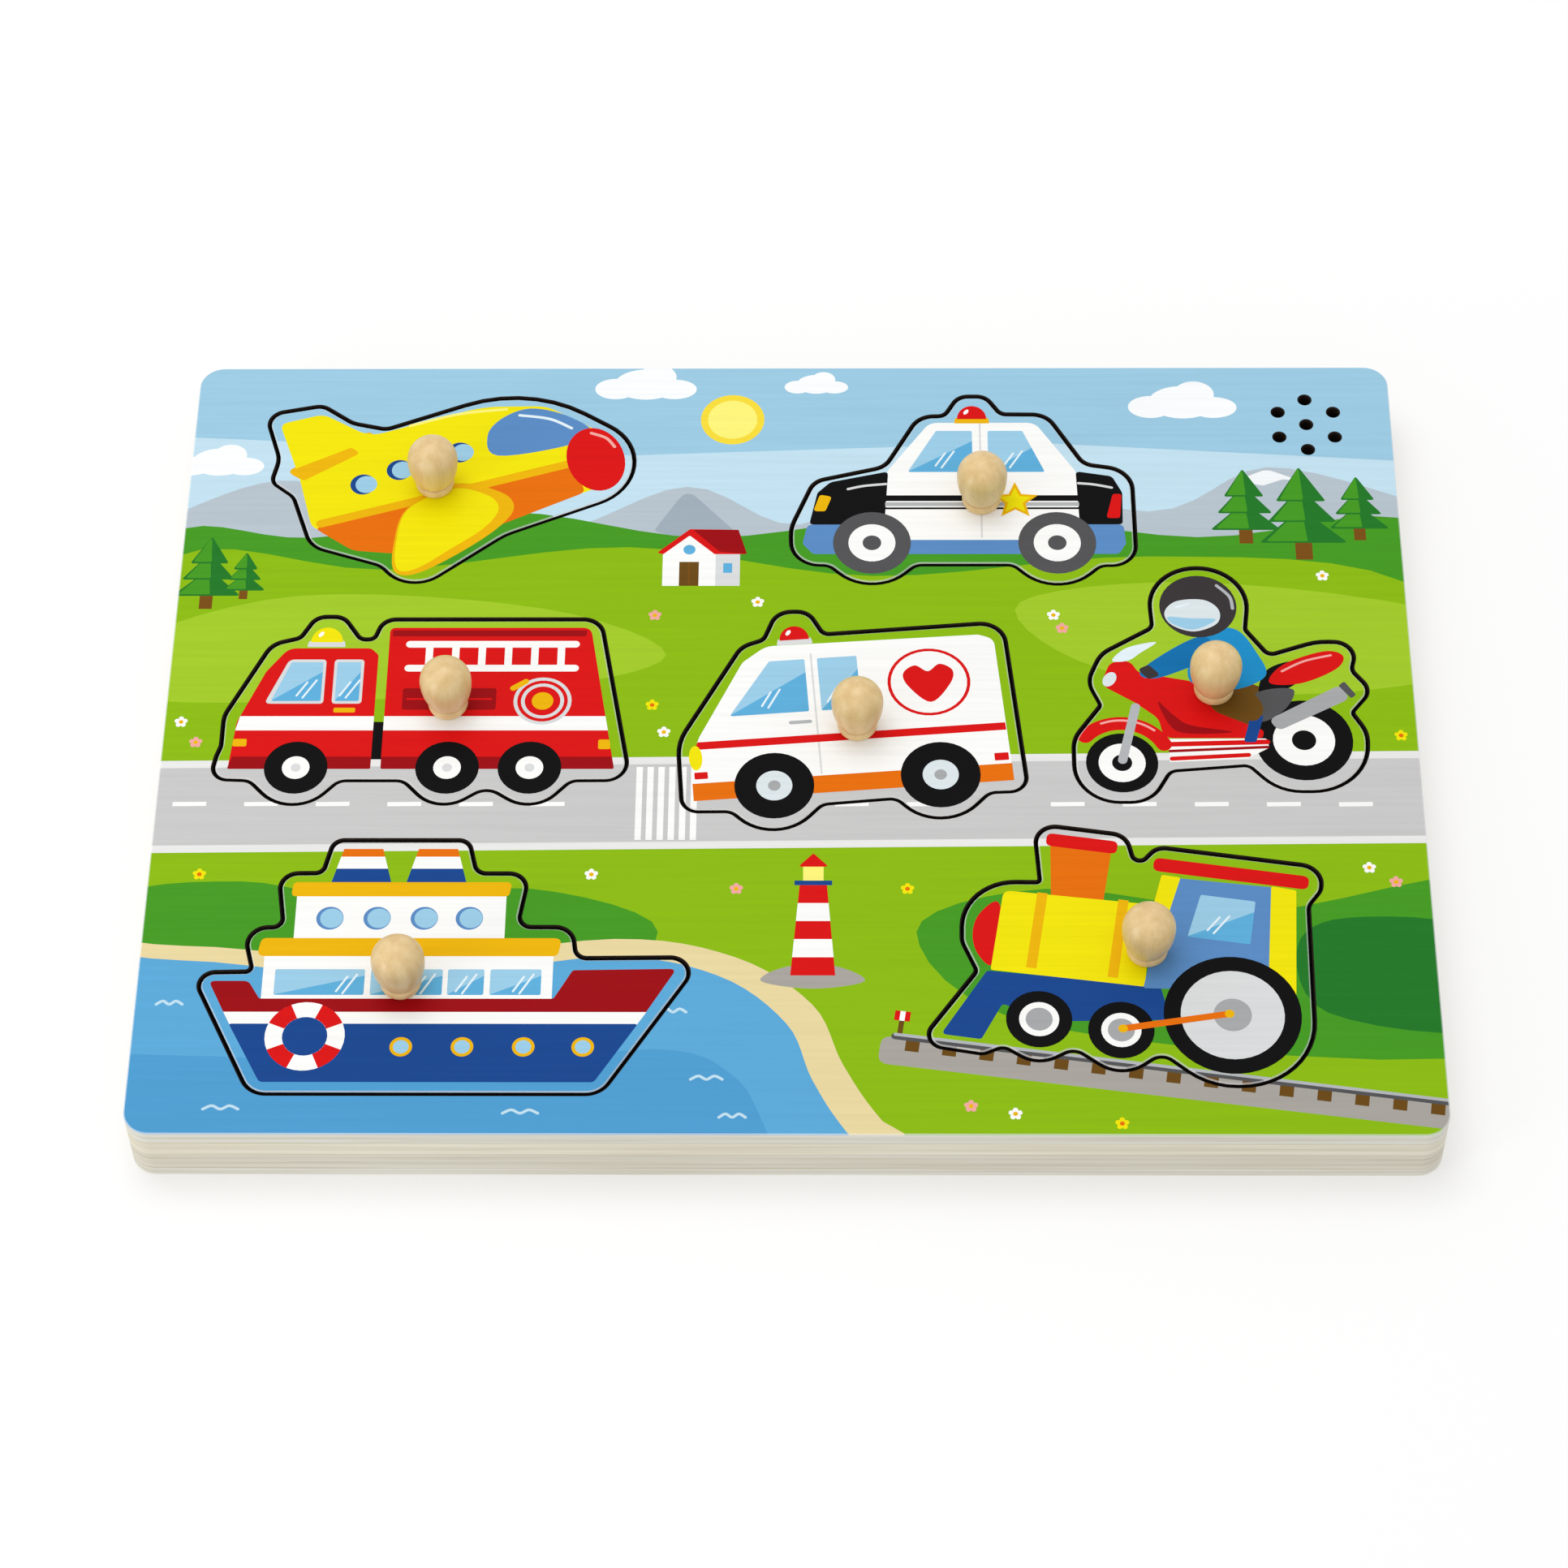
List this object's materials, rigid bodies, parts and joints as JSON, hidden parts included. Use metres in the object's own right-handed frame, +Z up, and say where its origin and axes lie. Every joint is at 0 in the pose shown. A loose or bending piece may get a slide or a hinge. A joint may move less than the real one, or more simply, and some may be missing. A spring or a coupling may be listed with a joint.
{
  "type": "peg puzzle",
  "caption": "Flat wooden peg puzzle with sound: vehicle shapes with turned knobs lift out of a printed board with a speaker, light sensors and a battery box.",
  "frame": {"origin": "middle of the board's underside, on the surface it lies on", "axes": "+X to the right along the long side, +Y to the back, +Z up out of the picture"},
  "size_m": [0.3, 0.225, 0.034],
  "materials": {
    "printed_board": "plywood with a printed and lacquered face",
    "printed_airplane": "plywood with a printed and lacquered face",
    "printed_police_car": "plywood with a printed and lacquered face",
    "printed_fire_truck": "plywood with a printed and lacquered face",
    "printed_ambulance": "plywood with a printed and lacquered face",
    "printed_motorbike": "plywood with a printed and lacquered face",
    "printed_ship": "plywood with a printed and lacquered face",
    "printed_train": "plywood with a printed and lacquered face",
    "bare_plywood": "sanded plywood",
    "turned_beech": "turned and sanded, clear varnish",
    "plated_steel": "zinc plated",
    "white_plastic": "moulded ABS",
    "black_plastic": "moulded",
    "black_resin": "cast",
    "sensor_resin": "clear coat over a ceramic disc",
    "lead_jacket": "extruded PVC",
    "foam": "open foam",
    "speaker_film": "pressed film",
    "ferrite": "ground",
    "circuit_laminate": "solder mask",
    "cell_sleeve": "gloss sleeve over a metal can"
  },
  "bodies": {
    "board": {"picture_board": "printed_board", "pocket_floor": "bare_plywood", "core_board": "bare_plywood", "back_panel": "bare_plywood", "light_sensors": "sensor_resin", "sensor_leads": "lead_jacket", "speaker_lead": "lead_jacket", "battery_lead": "lead_jacket", "switch_lead": "lead_jacket", "speaker_gasket": "foam", "speaker_basket": "plated_steel", "speaker_cone": "speaker_film", "speaker_magnet": "ferrite", "circuit_board": "circuit_laminate", "sound_chip": "black_resin", "circuit_parts": "black_resin", "circuit_spacers": "white_plastic", "circuit_screws": "plated_steel", "battery_box": "white_plastic", "battery_box_screws": "plated_steel", "left_cell": "cell_sleeve", "right_cell": "cell_sleeve", "contact_plates": "plated_steel", "contact_springs": "plated_steel", "switch_body": "black_plastic", "back_panel_screws": "plated_steel"},
    "airplane": {"airplane": "printed_airplane", "airplane_knob": "turned_beech", "airplane_knob_screw": "plated_steel"},
    "police_car": {"police_car": "printed_police_car", "police_car_knob": "turned_beech", "police_car_knob_screw": "plated_steel"},
    "fire_truck": {"fire_truck": "printed_fire_truck", "fire_truck_knob": "turned_beech", "fire_truck_knob_screw": "plated_steel"},
    "ambulance": {"ambulance": "printed_ambulance", "ambulance_knob": "turned_beech", "ambulance_knob_screw": "plated_steel"},
    "motorbike": {"motorbike": "printed_motorbike", "motorbike_knob": "turned_beech", "motorbike_knob_screw": "plated_steel"},
    "ship": {"ship": "printed_ship", "ship_knob": "turned_beech", "ship_knob_screw": "plated_steel"},
    "train": {"train": "printed_train", "train_knob": "turned_beech", "train_knob_screw": "plated_steel"},
    "battery_door": {"battery_door": "white_plastic"},
    "door_screw": {"door_screw": "plated_steel"},
    "switch_slider": {"switch_slider": "black_plastic"}
  },
  "joints": [
    {"name": "airplane_lift", "type": "slide", "parent": "board", "child": "airplane", "axis": [0, 0, 1], "range_m": [0, 0.04]},
    {"name": "police_car_lift", "type": "slide", "parent": "board", "child": "police_car", "axis": [0, 0, 1], "range_m": [0, 0.04]},
    {"name": "fire_truck_lift", "type": "slide", "parent": "board", "child": "fire_truck", "axis": [0, 0, 1], "range_m": [0, 0.04]},
    {"name": "ambulance_lift", "type": "slide", "parent": "board", "child": "ambulance", "axis": [0, 0, 1], "range_m": [0, 0.04]},
    {"name": "motorbike_lift", "type": "slide", "parent": "board", "child": "motorbike", "axis": [0, 0, 1], "range_m": [0, 0.04]},
    {"name": "ship_lift", "type": "slide", "parent": "board", "child": "ship", "axis": [0, 0, 1], "range_m": [0, 0.04]},
    {"name": "train_lift", "type": "slide", "parent": "board", "child": "train", "axis": [0, 0, 1], "range_m": [0, 0.04]},
    {"name": "battery_door_hinge", "type": "hinge", "parent": "board", "child": "battery_door", "pos_m": [0.005, -0.0932, 0.0013], "axis": [-1, 0, 0], "range_deg": [0, 90]},
    {"name": "door_screw_turn", "type": "hinge", "parent": "battery_door", "child": "door_screw", "pos_m": [0.005, -0.0398, 0.003], "axis": [0, 0, 1], "continuous": true},
    {"name": "power_switch", "type": "slide", "parent": "board", "child": "switch_slider", "axis": [1, 0, 0], "range_m": [0, 0.003]}
  ]
}
